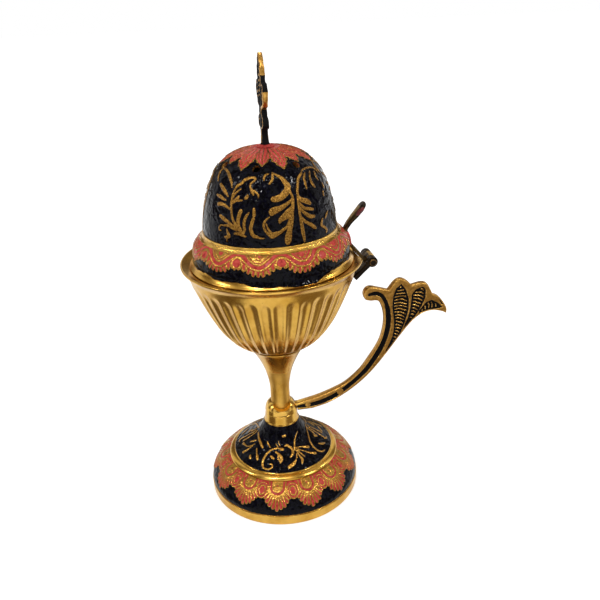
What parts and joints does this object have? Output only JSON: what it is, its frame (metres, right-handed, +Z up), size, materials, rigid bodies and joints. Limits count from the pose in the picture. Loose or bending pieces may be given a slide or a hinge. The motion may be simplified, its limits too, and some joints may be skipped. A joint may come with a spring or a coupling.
{
  "type": "metal censer",
  "caption": "Footed hand censer: fluted bowl on a trumpet stem and domed foot, side handle, and a pierced domed lid hinged above the handle with a thumb lever and leaf finial.",
  "frame": {"origin": "centre of the whole object's bounding box, on the floor it stands on; the bowl's axis stands off it on the side away from the handle", "axes": "+Z up along the bowl's axis, +X towards the handle and the hinge, +Y across the handle's flat side"},
  "size_m": [0.1344, 0.0878, 0.223],
  "materials": {
    "polished_brass": "turned and buffed cast brass, warm gold",
    "enamelled_brass": "cast brass painted with glossy blue-black and coral enamel between raised gold ornament",
    "inlaid_brass": "cast brass with black enamel in its sunk grooves",
    "aged_brass": "dull darkened cast brass",
    "fastener_brass": "plain machined brass"
  },
  "bodies": {
    "stand": {"foot": "enamelled_brass", "handle": "inlaid_brass", "stem": "polished_brass", "bowl": "polished_brass", "tie_bolt": "fastener_brass", "bowl_washer": "fastener_brass", "foot_washer": "fastener_brass", "foot_nut": "fastener_brass", "hinge_leaf": "aged_brass", "hinge_pin": "aged_brass"},
    "lid_assembly": {"lid": "enamelled_brass", "thumb_lever": "aged_brass", "finial": "inlaid_brass", "finial_washer": "fastener_brass", "finial_nut": "fastener_brass"}
  },
  "joints": [
    {"name": "lid_hinge", "type": "hinge", "parent": "stand", "child": "lid_assembly", "pos_m": [0.02509, 0, 0.1249], "axis": [0, 1, 0], "range_deg": [0, 105]}
  ]
}
